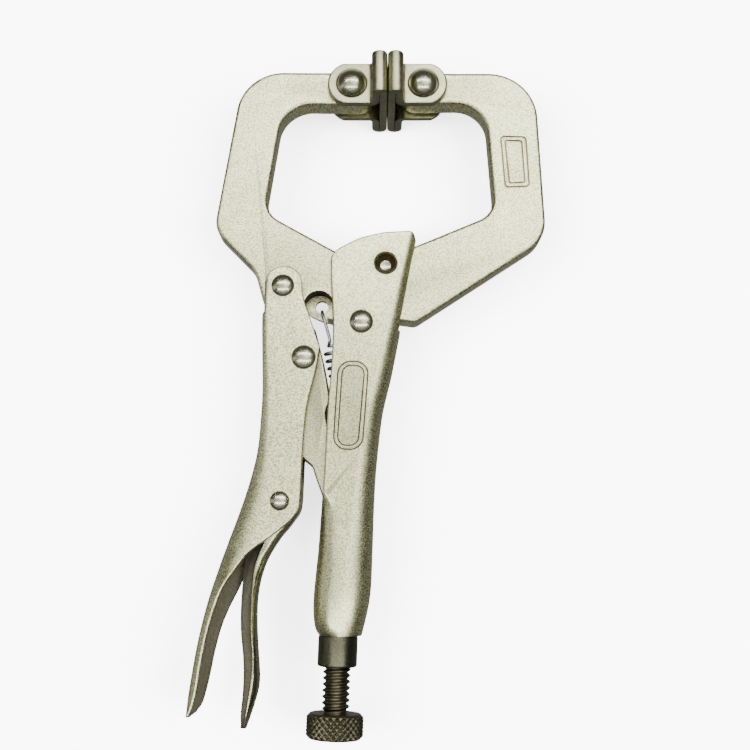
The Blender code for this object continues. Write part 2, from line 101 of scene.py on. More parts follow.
HANDLE_PIVOT = plan("handle_swing")
LINK_PIVOT = plan("link_swing")
LEVER_PIVOT = plan("lever_press")
MOVING_PAD_PIVOT = plan("moving_pad_swivel")
FIXED_PAD_PIVOT = plan("fixed_pad_swivel")
SCREW_AXIS = Vector(JOINTS["screw_turn"]["axis"])
SCREW_TOP = Vector(JOINTS["screw_turn"]["pos_m"])


def at(x, y, z=0.0):
    """A point of the frame from millimetres off the jaw pivot."""
    return PIVOT + Vector((x, y, z)) * MM


# ---------------------------------------------------------------- outlines and tables

def rounded(corners, step=6.0):
    """A closed outline from corners (x, y, radius), each rounded by an arc of its radius."""
    points = []
    for i, (x, y, radius) in enumerate(corners):
        if radius <= 0:
            points.append((x, y))
            continue
        here = Vector((x, y))
        before = (Vector(corners[i - 1][:2]) - here).normalized()
        after = (Vector(corners[(i + 1) % len(corners)][:2]) - here).normalized()
        half = before.angle(after) / 2
        middle = here + (before + after).normalized() * (radius / sin(half))
        start = here + before * (radius / tan(half)) - middle
        end = here + after * (radius / tan(half)) - middle
        sweep = atan2(start.cross(end), start.dot(end))
        parts = max(1, ceil(abs(sweep) / radians(step)))
        for k in range(parts + 1):
            turned = start.copy()
            turned.rotate(Matrix.Rotation(sweep * k / parts, 2))
            points.append(tuple(middle + turned))
    return points


def smooth(table, y):
    """The value at y of a smooth curve through (y, value) rows, which run downwards."""
    rows = sorted(table)
    if y <= rows[0][0]:
        return rows[0][1]
    if y >= rows[-1][0]:
        return rows[-1][1]
    i = max(k for k in range(len(rows) - 1) if rows[k][0] <= y)

    def slope(k):
        if k == 0 or k == len(rows) - 1:
            j = min(max(k, 1), len(rows) - 1)
            return (rows[j][1] - rows[j - 1][1]) / (rows[j][0] - rows[j - 1][0])
        return (rows[k + 1][1] - rows[k - 1][1]) / (rows[k + 1][0] - rows[k - 1][0])

    (y0, v0), (y1, v1) = rows[i], rows[i + 1]
    h = y1 - y0
    t = (y - y0) / h
    return ((2 * t ** 3 - 3 * t ** 2 + 1) * v0 + (t ** 3 - 2 * t ** 2 + t) * h * slope(i)
            + (3 * t ** 2 - 2 * t ** 3) * v1 + (t ** 3 - t ** 2) * h * slope(i + 1))


def steps(start, end, count):
    return [start + (end - start) * i / count for i in range(count + 1)]


# ---------------------------------------------------------------- meshes

def piece_from(name, model):
    bmesh.ops.recalc_face_normals(model, faces=model.faces)
    mesh = bpy.data.meshes.new(name)
    model.to_mesh(mesh)
    model.free()
    piece = bpy.data.objects.new(name, mesh)
    bpy.context.scene.collection.objects.link(piece)
    return piece


def plate(name, outline, low, high, rim=0.0, rim_segments=4, chosen=lambda x, y: True):
    """A flat solid of a plan outline between two heights, its rims rounded where chosen."""
    model = bmesh.new()
    ring = [model.verts.new(at(x, y, low)) for x, y in outline]
    bmesh.ops.remove_doubles(model, verts=ring, dist=0.00004)
    ring = [v for v in ring if v.is_valid]
    base = model.faces.new(ring)
    top = bmesh.ops.extrude_face_region(model, geom=[base])["geom"]
    lifted = [g for g in top if isinstance(g, bmesh.types.BMVert)]
    bmesh.ops.translate(model, verts=lifted, vec=(0, 0, (high - low) * MM))
    bmesh.ops.recalc_face_normals(model, faces=model.faces)
    if rim > 0:
        rims = []
        for edge in model.edges:
            centre = ((edge.verts[0].co + edge.verts[1].co) / 2 - PIVOT) / MM
            level = abs(edge.verts[0].co.z - edge.verts[1].co.z) < 1e-7
            if level and chosen(centre.x, centre.y):
                rims.append(edge)
        bmesh.ops.bevel(model, geom=rims, offset=rim * MM, segments=rim_segments, profile=0.5,
                        affect="EDGES", clamp_overlap=False)
    return piece_from(name, model)


def loft(name, sections, outside, inside=None):
    """A skin over closed sections of equal length, with its ends capped.

    The first half of each section is the outer surface. The second half is the inner one, backwards.
    """
    model = bmesh.new()
    rings = [[model.verts.new(point) for point in section] for section in sections]
    count = len(rings[0])
    for ring, following in zip(rings, rings[1:]):
        for i in range(count):
            j = (i + 1) % count
            face = model.faces.new((ring[i], ring[j], following[j], following[i]))
            face.material_index = 1 if inside and count // 2 <= i < count - 1 else 0
    for ring in (rings[0], rings[-1]):
        for i in range(count // 2 - 1):
            model.faces.new((ring[i], ring[i + 1], ring[count - 2 - i], ring[count - 1 - i]))
    piece = piece_from(name, model)
    for material in (outside, inside or outside):
        piece.data.materials.append(material)
    return piece


def turned(name, profile, centre, axis=(0, 0, 1), parts=48):
    """A turned solid from (radius, height) points in millimetres along an axis from centre."""
    model = bmesh.new()
    up = Vector(axis).normalized()
    side = up.orthogonal().normalized()
    other = up.cross(side)
    rings = []
    for radius, height in profile:
        middle = Vector(centre) + up * height * MM
        if radius < 1e-6:
            rings.append([model.verts.new(middle)])
            continue
        rings.append([model.verts.new(middle + (side * cos(a) + other * sin(a)) * radius * MM)
                      for a in steps(0, 2 * pi, parts)[:-1]])
    for ring, following in zip(rings, rings[1:]):
        for i in range(parts):
            j = (i + 1) % parts
            corners = [ring[i % len(ring)], ring[j % len(ring)],
                       following[j % len(following)], following[i % len(following)]]
            model.faces.new(list(dict.fromkeys(corners)))
    return piece_from(name, model)


def bake(piece):
    """Apply the piece's modifiers."""
    view = piece.evaluated_get(bpy.context.evaluated_depsgraph_get())
    mesh = bpy.data.meshes.new_from_object(view)
    piece.modifiers.clear()
    piece.data = mesh


def combine(piece, tool, operation="DIFFERENCE"):
    """Cut, trim or join a piece with another solid, which is used up."""
    step = piece.modifiers.new("combine", "BOOLEAN")
    step.operation = operation
    step.solver = "EXACT"
    step.object = tool
    bpy.context.view_layer.update()
    bake(piece)
    bpy.data.objects.remove(tool, do_unlink=True)


def drill(piece, centre, radius, low=-FAR, high=FAR, mouth=None):
    """An upright round hole, with a wider mouth at its upper end if asked."""
    profile = [(0, high), (mouth or radius, high), (radius, low), (0, low)]
    combine(piece, turned("drill", profile, at(*centre)))


def shade(piece, angle=35):
    """Smooth shading with flat faces kept flat."""
    piece.data.shade_smooth()
    piece.data.set_sharp_from_angle(angle=radians(angle))
    weigh = piece.modifiers.new("weigh", "WEIGHTED_NORMAL")
    weigh.keep_sharp = True
    bake(piece)


def place(piece, material, body, slot, *nodes):
    """Give a finished piece its material, and tie it to the frame."""
    if not piece.data.materials:
        piece.data.materials.append(material)
    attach(piece, body)
    if nodes:
        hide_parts(*nodes)


# ---------------------------------------------------------------- materials

STAIN_SIZE = 14.0
SHEEN_SIZE = 4.0
SCRATCH_SIZE = 0.25


def link(tree, source, target):
    tree.links.new(source, target)


def noise(tree, where, size, detail=3.0, rough=0.6):
    """Noise of about this grain size in millimetres."""
    node = tree.nodes.new("ShaderNodeTexNoise")
    node.inputs["Scale"].default_value = 1.0 / (size * MM)
    node.inputs["Detail"].default_value = detail
    node.inputs["Roughness"].default_value = rough
    link(tree, where, node.inputs["Vector"])
    return node.outputs["Fac"]


def ramp(tree, source, low, high, at_low, at_high):
    """Map the range from low to high to another, and hold it beyond."""
    node = tree.nodes.new("ShaderNodeMapRange")
    node.inputs["From Min"].default_value = low
    node.inputs["From Max"].default_value = high
    node.inputs["To Min"].default_value = at_low
    node.inputs["To Max"].default_value = at_high
    link(tree, source, node.inputs["Value"])
    return node.outputs["Result"]


def times(tree, first, second):
    node = tree.nodes.new("ShaderNodeMath")
    node.operation = "MULTIPLY"
    link(tree, first, node.inputs[0])
    link(tree, second, node.inputs[1])
    return node.outputs[0]


def bump(tree, height, depth, under=None):
    """Relief of this depth in millimetres, on top of another one if given."""
    node = tree.nodes.new("ShaderNodeBump")
    node.inputs["Distance"].default_value = depth * MM
    link(tree, height, node.inputs["Height"])
    if under:
        link(tree, under, node.inputs["Normal"])
    return node.outputs["Normal"]


def plating_colour(tree, where, fine, colour, speckle, stain):
    """The colour, darker in specks and in broad stains, and darker on outer edges as painted shade."""
    specks = ramp(tree, fine, 0.44, 0.53, 1 - speckle, 1.0)
    stains = ramp(tree, noise(tree, where, STAIN_SIZE, 2.0), 0.3, 0.7, 1 - stain, 1.0)
    # outer edges darkened by pointiness: painted shade along the edges
    pointed = tree.nodes.new("ShaderNodeNewGeometry").outputs["Pointiness"]
    edges = ramp(tree, pointed, 0.505, 0.58, 1.0, 0.55)
    tint = tree.nodes.new("ShaderNodeMix")
    tint.data_type = "RGBA"
    tint.inputs["A"].default_value = (0, 0, 0, 1)
    tint.inputs["B"].default_value = (*colour, 1)
    link(tree, times(tree, times(tree, specks, stains), edges), tint.inputs["Factor"])
    return tint.outputs["Result"]


def drawn_lines(tree, where):
    """Fine lines along the clamp, as drawing and polishing leave them."""
    stretch = tree.nodes.new("ShaderNodeMapping")
    stretch.inputs["Scale"].default_value = (1.0, 0.06, 1.0)
    link(tree, where, stretch.inputs["Vector"])
    return noise(tree, stretch.outputs["Vector"], SCRATCH_SIZE, 2.0, 0.5)


def steel(name, colour, roughness, grain=0.35, grain_depth=0.012, speckle=0.12, stain=0.1,
          scratches=0.0, metal=1.0):
    """Plated steel. Sizes in millimetres; speckle and stain are how far the colour varies."""
    material = bpy.data.materials.new(name)
    material.use_nodes = True
    tree = material.node_tree
    shader = tree.nodes["Principled BSDF"]
    shader.inputs["Metallic"].default_value = metal
    shader.inputs["Specular IOR Level"].default_value = 0.5 * metal
    where = tree.nodes.new("ShaderNodeTexCoord").outputs["Object"]
    fine = noise(tree, where, grain)
    link(tree, plating_colour(tree, where, fine, colour, speckle, stain), shader.inputs["Base Color"])
    sheen = ramp(tree, noise(tree, where, SHEEN_SIZE), 0.3, 0.7, roughness * 0.88, roughness * 1.1)
    link(tree, times(tree, sheen, ramp(tree, fine, 0.3, 0.7, 0.92, 1.1)), shader.inputs["Roughness"])
    relief = bump(tree, fine, grain_depth)
    if scratches > 0:
        relief = bump(tree, drawn_lines(tree, where), scratches, relief)
    link(tree, relief, shader.inputs["Normal"])
    return material


SATIN = steel("satin_nickel", (0.80, 0.80, 0.47), 0.35, grain=0.3, grain_depth=0.03, speckle=0.55)
HANDLE_SATIN = steel("handle_satin", (0.80, 0.80, 0.47), 0.32, grain=0.28, grain_depth=0.018, speckle=0.52)
LINK_SATIN = steel("link_satin", (0.70, 0.69, 0.42), 0.36, grain=0.3, grain_depth=0.024, speckle=0.5)
LEVER_STEEL = steel("lever_steel", (0.42, 0.41, 0.25), 0.24, grain=0.4, grain_depth=0.006, speckle=0.2,
                    stain=0.3, scratches=0.004)
# dark colour of the pressings' inner faces: painted shade inside the channels
INNER_SHADE = steel("inner_painted_shade", (0.044, 0.041, 0.025), 0.5, grain=0.35, grain_depth=0.015, speckle=0.3,
              metal=0.4)
RIVET = steel("rivet_nickel", (0.43, 0.427, 0.30), 0.24, grain=0.5, grain_depth=0.001, speckle=0.03,
              stain=0.05)
PAD = steel("pad_nickel", (0.43, 0.425, 0.27), 0.34, grain=0.5, grain_depth=0.006, speckle=0.2,
            stain=0.25, scratches=0.002)
NECK = steel("neck_satin", (0.125, 0.122, 0.08), 0.32, grain=0.35, grain_depth=0.008, speckle=0.25)
DARK = steel("screw_steel", (0.165, 0.155, 0.10), 0.34, grain=0.4, grain_depth=0.006, stain=0.25)
WIRE = steel("spring_zinc", (0.74, 0.78, 0.82), 0.34, grain=0.4, grain_depth=0.002)
# dark colour in stamped grooves and on punched cup walls: painted shade in these hollows
HOLLOW_SHADE = steel("hollow_painted_shade", (0.16, 0.135, 0.08), 0.4, grain=0.3, grain_depth=0.006)
# near-black colour for the upper wall of the spring's counterbore: painted shade
BORE_SHADE = steel("bore_painted_shade", (0.015, 0.013, 0.01), 0.9, grain=0.3, grain_depth=0.006, metal=0.0)


# ---------------------------------------------------------------- jaws

def second_material(tool):
    """Faces that this tool cuts take the piece's second material."""
    for _ in range(2):
        tool.data.materials.append(None)
    for face in tool.data.polygons:
        face.material_index = 1
    return tool


def inward(corners, distance, least=0.1):
    """Corners (x, y, radius) moved in towards the middle of their outline."""
    middle_x = sum(corner[0] for corner in corners) / len(corners)
    middle_y = sum(corner[1] for corner in corners) / len(corners)
    return [(x - copysign(distance, x - middle_x), y - copysign(distance, y - middle_y),
             max(radius - distance, least)) for x, y, radius in corners]


def double_groove(piece, corners, apart, width, depth, top):
    """Two closed grooves, one inside the other, stamped along an outline of corners (x, y, radius)."""
    for outline in (corners, inward(corners, apart, 0.6)):
        ring = plate("groove", rounded(outline, 15), top - depth, top + 2)
        core = plate("groove_core", rounded(inward(outline, width), 15), top - 3, top + 4)
        combine(ring, core)
        # the groove's faces take the piece's second, darker material: painted shade in the groove
        combine(piece, second_material(ring))


def fixed_jaw():
    """The right arm of the C, with a blank stamped frame."""
    corners = [
        (9.0, 61.1, 3.9), (40.9, 61.1, 11.5), (42.5, 20.0, 8.5), (12.3, 0.1, 2.2),
        (7.7, 0.8, 0.8), (6.9, 2.4, 1.0), (5.0, 6.4, 3.0), (0.0, 11.5, 2.0), (-1.6, 18.4, 0.8),
        (11.5, 18.0, 0.5), (30.7, 26.2, 5.5), (29.0, 53.3, 7.5), (9.0, 53.2, 3.9),
    ]
    jaw = plate("fixed_jaw_forging", rounded(corners, 4), -JAW_HALF, JAW_HALF, 0.9, 5,
                lambda x, y: x > 8.2)
    # the second material darkens the stamped grooves as painted shade
    for material in (SATIN, HOLLOW_SHADE):
        jaw.data.materials.append(material)
    drill(jaw, FIXED_PAD_PIVOT, 2.0)
    stamp = [(32.2, 45.2, 1.1), (38.5, 45.0, 1.1), (39.0, 32.4, 1.1), (33.0, 32.2, 1.1)]
    double_groove(jaw, stamp, 1.0, 0.42, 0.35, JAW_HALF)
    drill(jaw, STAKE, STAKE_RADIUS, JAW_HALF - 0.8, FAR)
    shade(jaw)
    place(jaw, SATIN, "frame", "satin_steel", "fixed_jaw")


def movable_jaw():
    """The left arm of the C, with a counterbore for the spring's hook whose upper wall is painted black as
    shade.
    """
    corners = [
        (3.0, 61.2, 3.9), (-28.0, 61.4, 11.0), (-34.0, 22.2, 6.5), (-24.4, 12.4, 7.0),
        (-21.6, 2.6, 3.2), (-13.2, 4.3, 1.0), (-11.5, 2.75, 2.0), (-9.2, 1.65, 2.0), (-5.2, 0.6, 0.3),
        (-5.2, -5.2, 5.0),
        (5.2, -5.2, 5.0), (5.2, 3.6, 4.2), (-2.4, 10.4, 3.0), (-2.8, 15.3, 1.5),
        (-22.4, 26.4, 5.5), (-18.4, 53.1, 8.0), (3.0, 52.9, 3.9),
    ]
    jaw = plate("movable_jaw_forging", rounded(corners, 4), -JAW_HALF, JAW_HALF, 0.9, 5,
                lambda x, y: y > 13.5 or x < -21)
    drill(jaw, MOVING_PAD_PIVOT, 2.0)
    drill(jaw, (0, 0), 2.6)
    drill(jaw, RECESS, RECESS_RADIUS, RECESS_FLOOR, FAR, RECESS_RADIUS + 0.05)
    drill(jaw, (-9.15, 4.95), 1.45)
    shade(jaw)
    place(jaw, SATIN, "jaw", "satin_steel", "movable_jaw")
    jaw.data.materials.append(BORE_SHADE)
    # the upper part of the counterbore's wall takes the black material: painted shade
    recess = at(*RECESS)
    for face in jaw.data.polygons:
        near = (face.center.xy - recess.xy).length < (RECESS_RADIUS + 0.15) * MM
        wall = abs(face.normal.z) < 0.5
        if near and wall and face.center.y > recess.y - 1.2 * MM:
            face.material_index = 1


# ---------------------------------------------------------------- handles

def cheek(depth, height, fold, stretch, sheet, lip_radius, sweep, reach, crown):
    """Half a folded sheet's section: its outer and its inner line as (in from the web, up) points.

    depth is how far the lip is from the web, and crown the angle that the fold's arc runs through.
    The lip is rounded, or turns in through the angle sweep and reaches on by a share of the rest.
    """
    bead = min(LIP_BEAD, depth / 4)
    broad = min(fold * stretch, depth - bead - 0.1)

    def line(inset, wide):
        corner = max(fold - inset, 0.05)
        top = height - inset
        points = [(inset, 0.0), (inset, (top - corner) / 2), (inset, top - corner)]
        points += [(inset + wide * (1 - cos(a)) / (1 - cos(crown)),
                    top - corner + corner * sin(a) / sin(crown))
                   for a in steps(0, crown, ARC_PARTS)[1:]]
        start = depth - lip_radius * stretch * sin(sweep)
        flat_end = max(start if sweep or inset else start - bead, inset + wide + 0.02)
        points += [(x, top) for x in steps(inset + wide, flat_end, FLAT_PARTS)[1:]]
        if sweep:
            points += [(start + (lip_radius * stretch - inset) * sin(a),
                        height - lip_radius + (lip_radius - inset) * cos(a))
                       for a in steps(0, sweep, ARC_PARTS)[1:]]
        elif inset:
            points += [(x, top) for x in steps(flat_end, flat_end + EDGE_RUN, ARC_PARTS)[1:]]
        else:
            points += [(flat_end + bead * sin(a), top - bead + bead * cos(a))
                       for a in steps(0, pi / 2, ARC_PARTS)[1:]]
        x, z = points[-1]
        points += [(x, z - (z - 0.12) * share) for share in steps(0, reach, 3)[1:]]
        return points

    return line(0.0, broad), line(sheet, max(min(fold, broad) - sheet, 0.05))


def folded_section(y, web, front, back, out, fold, stretch=1.0, sheet=SHEET, lip_radius=3.6, curl=0.0,
                   reach=0.0, crown=90.0):
    """The section at y of a sheet folded to a channel, from the back lip round to the front lip on
    the outside and back on the inside.

    web, front and back are the plan x of the web's outer face and of the two lips, and out is the
    cheeks' distance from the middle plane. curl and reach run from 0 to 1.
    """
    way = 1.0 if web > front else -1.0
    sweep = pi / 2 * min(curl, 1.0) if curl > 0.02 else 0.0
    rest = (out, fold, stretch, sheet, lip_radius, sweep, min(max(reach, 0.0), 1.0), radians(crown))
    outer, inner = cheek(abs(web - front), *rest)
    outer_back, inner_back = cheek(abs(web - back), *rest)
    around = [(x, -z) for x, z in reversed(outer_back[1:])] + outer
    returning = [(x, -z) for x, z in reversed(inner_back[1:])] + inner
    return [at(web - way * x, y, z) for x, z in around + returning[::-1]]


def pressing(name, stations, outside, **shape):
    """A folded sheet through stations in y. Each part of its shape is a table of (y, value) rows."""
    sections = [folded_section(y, **{part: smooth(table, y) for part, table in shape.items()})
                for y in stations]
    # the inner faces take the dark inner material, which is painted shade
    return loft(name, sections, outside, INNER_SHADE)


def fixed_handle():
    """The channel that holds the fixed jaw and the screw, rolled to a tube at its lower end."""
    lips = [(24, -6.95), (10.8, -6.9), (1, -6.4), (-7, -6.5), (-20, -7.4), (-34, -8.0), (-44, -8.8),
            (-50, -9.3), (-56, -9.9), (-61, -10.3), (-65, -10.2), (-67.4, -9.7), (-68.6, -8.9)]
    handle = pressing(
        "fixed_handle_pressing",
        steps(24, 0, 12) + steps(0, -62, 62)[1:] + steps(-62, -68.6, 12)[1:],
        HANDLE_SATIN,
        web=[(24, 13.6), (10.8, 10.9), (1.7, 9.4), (-11.4, 6.9), (-20, 4.9), (-28.7, 3.8), (-37, 3.1),
             (-50, 2.6), (-56, 2.4), (-60, 2.1), (-63, 1.6), (-66, 0.9), (-68.6, 0.2)],
        front=lips,
        back=lips,
        out=[(24, CHEEK_OUT), (-58, CHEEK_OUT), (-63, CHEEK_OUT - 0.12), (-66, CHEEK_OUT - 0.32),
             (-68.6, CHEEK_OUT - 0.62)],
        fold=[(24, 2.4), (10, 2.8), (2, 3.4), (-8, 3.9), (-30, 4.2), (-44, 4.5), (-54, 4.8), (-62, 4.7),
              (-68.6, 4.2)],
        curl=[(24, 0.0), (-36.5, 0.0), (-38, 0.12), (-40.5, 0.6), (-44, 0.82), (-51, 1.0), (-68.6, 1.0)],
        reach=[(24, 0.0), (-49, 0.0), (-56, 1.0), (-68.6, 1.0)],
        stretch=[(24, 1.0), (-20, 1.0), (-40, 1.15), (-52, 1.27), (-68.6, 1.2)],
        lip_radius=[(24, 3.6), (-44, 3.8), (-54, 4.7), (-62, 4.7), (-68.6, 4.2)])
    jaw_slot = [(4.0, -1.6), (FAR, -1.6), (FAR, 30), (4.0, 30)]
    combine(handle, plate("jaw_slot", jaw_slot, -CHEEK_IN, CHEEK_IN))
    top = [(-FAR, -80, 0), (-FAR, 0, 0), (-7.1, 0, 0), (-7.1, 16.1, 4.2), (-0.5, 19.7, 9.0),
           (5.0, 21.0, 9.0), (11.75, 21.35, 1.3), (FAR, -60, 0)]
    combine(handle, plate("trim", rounded(top), -CHEEK_OUT - HAIR, CHEEK_OUT + HAIR, 0.5), "INTERSECT")
    stake = [(0, 7), (3.15, 7), (2.75, CHEEK_OUT), (2.4, CHEEK_OUT - 0.3), (1.5, 2.2), (0, 2.2)]
    for side in (-1, 1):
        combine(handle, turned("stake", [(radius, side * z) for radius, z in stake], at(*STAKE)))
    medallion = [(-5.2, -9.0, 3.0), (1.9, -9.0, 3.0), (0.4, -29.0, 3.0), (-6.3, -29.0, 3.0)]
    # the grooves take the handle's second material, the dark inner one: painted shade in the grooves
    double_groove(handle, medallion, 0.9, 0.34, 0.25, CHEEK_OUT)
    shade(handle)
    place(handle, HANDLE_SATIN, "frame", "satin_steel", "fixed_handle")


def stake_cups():
    """The punched cups that lock the cheeks on the fixed jaw's stem, their walls darkened as painted shade,
    with a bright bottom.
    """
    rim, floor = CHEEK_OUT - 0.25, JAW_HALF - 0.35
    for name, side in (("front_stake_cup", 1), ("back_stake_cup", -1)):
        profile = [(2.35, rim), (1.42, floor + 0.15), (1.2, floor), (0, floor)]
        cup = turned(name, [(radius, side * z) for radius, z in profile], at(*STAKE))
        wall = cup.modifiers.new("wall", "SOLIDIFY")
        wall.thickness = 0.12 * MM
        wall.offset = -1
        bake(cup)
        shade(cup)
        place(cup, HOLLOW_SHADE, "frame", "satin_steel")
        cup.data.materials.append(RIVET)
        for face in cup.data.polygons:
            low = abs(face.center.z - PIVOT.z) < (floor + 0.15) * MM
            face.material_index = 1 if low and abs(face.normal.z) > 0.95 else 0


def movable_handle():
    """The channel with ears beside the movable jaw, and a tail whose back flange is the wider one."""
    lips = [(14, -7.6), (-3, -8.6), (-7, -9.35), (-11, -10.0), (-19, -11.85), (-28, -12.65), (-37, -13.0),
            (-40, -13.15), (-42, -13.6), (-44.1, -15.1), (-46.2, -17.6)]
    handle = pressing(
        "movable_handle_pressing",
        steps(14, 0, 10) + steps(0, -40, 40)[1:] + steps(-40, -54, 28)[1:] + steps(-54, -85.2, 40)[1:],
        SATIN,
        web=[(14, -21.9), (2, -22.35), (-7, -22.2), (-15.7, -22.0), (-22.3, -22.3), (-28.7, -22.9),
             (-34, -24.1), (-39, -25.6), (-44, -27.3), (-49.2, -29.2), (-56, -31.5), (-62, -33.3),
             (-70.2, -35.1), (-77, -36.15), (-82, -36.8), (-85.2, -36.9)],
        front=lips + [(-48.3, -20.4), (-51, -24.0), (-54.6, -26.8), (-58.6, -29.4), (-63.5, -31.2),
                      (-68.2, -32.4), (-73.8, -33.4), (-78.8, -34.1), (-81.6, -34.6), (-83.8, -35.3),
                      (-85.2, -36.2)],
        back=lips + [(-49.3, -22.3), (-52.4, -25.0), (-55, -25.8), (-57.6, -26.5), (-60.1, -27.7),
                     (-63.4, -29.3), (-67.1, -30.7), (-71.9, -31.9), (-76.7, -32.8), (-80.4, -33.6),
                     (-83.3, -34.5), (-84.7, -35.6), (-85.2, -36.0)],
        out=[(14, CHEEK_OUT), (-85.2, CHEEK_OUT)],
        fold=[(14, 1.4), (0, 1.5), (-15, 1.9), (-28, 2.8), (-36, 3.8), (-50, 4.4), (-60, 4.7), (-85.2, 4.7)],
        stretch=[(14, 1.0), (-30, 1.0), (-38, 1.2), (-50, 1.3), (-60, 1.5), (-85.2, 1.5)],
        crown=[(14, 90), (-46, 90), (-54, 78), (-60, 66), (-85.2, 60)],
        sheet=[(14, SHEET), (-40, SHEET), (-51, TAIL_SHEET), (-85.2, TAIL_SHEET)])
    ear_slot = [(-FAR, 1.4), (-5, 1.4), (-5, 20), (-FAR, 20)]
    combine(handle, plate("ear_slot", ear_slot, -CHEEK_IN, CHEEK_IN))
    ends = [(0, -30, 0), (-8.6, -7.6, 0), (-13.2, 6.0, 8.0), (-13.5, 12.9, 4.2), (-21.8, 12.9, 4.2),
            (-21.8, 2.2, 0.4), (-24.5, 1.2, 0), (-FAR, -10, 0), (-FAR, -80, 0), (-38, -82, 0),
            (-37.2, -84.95, 1.0), (-34.8, -84.95, 1.2), (-33, -80, 0), (-20, -70, 0), (0, -60, 0)]
    combine(handle, plate("trim", rounded(ends), -CHEEK_OUT - HAIR, CHEEK_OUT + HAIR, 0.4), "INTERSECT")
    shade(handle)
    place(handle, SATIN, "handle", "satin_steel", "movable_handle")


def toggle_link():
    """The flat bar from the movable handle to the screw's nose."""
    corners = [
        (-10.5, -0.7, 0.6), (-8.35, -9.1, 2.0), (-6.75, -17.4, 1.0), (-7.9, -20.5, 3.0),
        (-6.8, -25.0, 2.0), (-2.0, -38.0, 4.0), (-2.1, -43.9, 2.0), (-6.6, -43.9, 2.0),
        (-9.9, -35.0, 4.0), (-10.8, -32.2, 1.5), (-13.3, -30.2, 0.8), (-14.6, -22.0, 4.0),
        (-17.2, -9.0, 4.0), (-15.8, -4.4, 2.5),
    ]
    bar = plate("toggle_link_bar", rounded(corners), -LINK_HALF, LINK_HALF, 0.6, 4)
    drill(bar, LINK_PIVOT, 2.5)
    shade(bar)
    place(bar, LINK_SATIN, "link", "satin_steel", "toggle_link")


def release_lever():
    """The small channel inside the movable handle, its tail bent away from it."""
    lever = pressing(
        "release_lever_pressing",
        steps(-30.2, -87.6, 100),
        LEVER_STEEL,
        web=[(-29, -14.2), (-31.7, -13.6), (-36.9, -13.0), (-41.9, -13.5), (-45, -15.3), (-47.7, -17.5),
             (-52, -20.1), (-56, -21.5), (-60.4, -22.2), (-65, -22.3), (-70.3, -22.0), (-76.6, -21.5),
             (-79.5, -21.7), (-82.5, -22.5), (-85, -23.3), (-87.6, -24.2)],
        front=[(-29, -16.0), (-36.5, -17.4), (-43.5, -18.9), (-46.5, -20.1), (-49.1, -21.4), (-51.5, -22.4),
               (-54.2, -23.2), (-57, -23.5), (-60, -23.6), (-64.1, -23.7), (-68.2, -23.6), (-72.3, -23.2),
               (-76.4, -23.3), (-80.4, -23.8), (-84.4, -24.3), (-86.7, -24.7), (-87.6, -24.9)],
        back=[(-29, -16.0), (-36.5, -18.2), (-43.5, -22.0), (-47.5, -24.2), (-51.9, -25.3), (-56.8, -25.9),
              (-62.2, -26.2), (-67.6, -26.1), (-73, -25.5), (-76.7, -25.3), (-80.9, -25.4), (-85, -25.7),
              (-87.6, -25.5)],
        out=[(-29, LEVER_HALF), (-45, LEVER_HALF), (-50, LEVER_HALF - 0.3), (-80, LEVER_HALF - 0.3),
             (-85, LEVER_HALF - 0.6), (-87.6, LEVER_HALF - 1.4)],
        fold=[(-29, 1.4), (-50, 1.6), (-58, 2.4), (-70, 2.7), (-80, 2.4), (-87.6, 1.5)],
        crown=[(-29, 90), (-50, 88), (-58, 70), (-87.6, 65)],
        sheet=[(-29, LEVER_SHEET), (-87.6, LEVER_SHEET)])
    shade(lever)
    place(lever, LEVER_STEEL, "lever", "satin_steel", "release_lever")


# ---------------------------------------------------------------- rivets and pads

def rivet(node, body, pivot, head, seat, rise, shank):
    """A shank with a domed head on each side."""
    sphere = (head ** 2 + rise ** 2) / (2 * rise)
    spread = atan2(head, sphere - rise)
    dome = [(sphere * sin(a), seat + 0.22 + rise - sphere + sphere * cos(a)) for a in steps(0, spread, 9)]
    upper = [*dome, (head + 0.03, seat + 0.12), (head - 0.04, seat + 0.02), (shank, seat + 0.02)]
    profile = upper + [(r, -z) for r, z in reversed(upper)]
    stud = turned(node + "_stud", profile, at(*pivot))
    shade(stud, 50)
    place(stud, RIVET, body, "rivet_steel", node)


def pad_line(face, leg, outwards, inset=0.0):
    """The pad sheet's outer or inner line, from the ear's tip to the middle of the face."""
    fold = PAD_SHEET + PAD_CREASE
    if outwards:
        level, radius, wall = CHEEK_IN + PAD_SHEET - inset, fold - inset, leg + inset
        turn, middle = PAD_TURN + inset, face - inset
    else:
        level, radius, wall = CHEEK_IN, PAD_CREASE, leg + PAD_SHEET
        turn, middle = PAD_TURN + PAD_SHEET, face - PAD_SHEET
    line = [(PAD_EAR_TIP, level), (wall - turn, level)]
    line += [(wall - turn + turn * sin(a), level + turn - turn * cos(a))
             for a in steps(0, pi / 2, 6)[1:]]
    line += [(leg + fold - radius * cos(a), PAD_HALF - fold + radius * sin(a))
             for a in steps(0, pi, 16)]
    return line + [(middle, 0.0)]


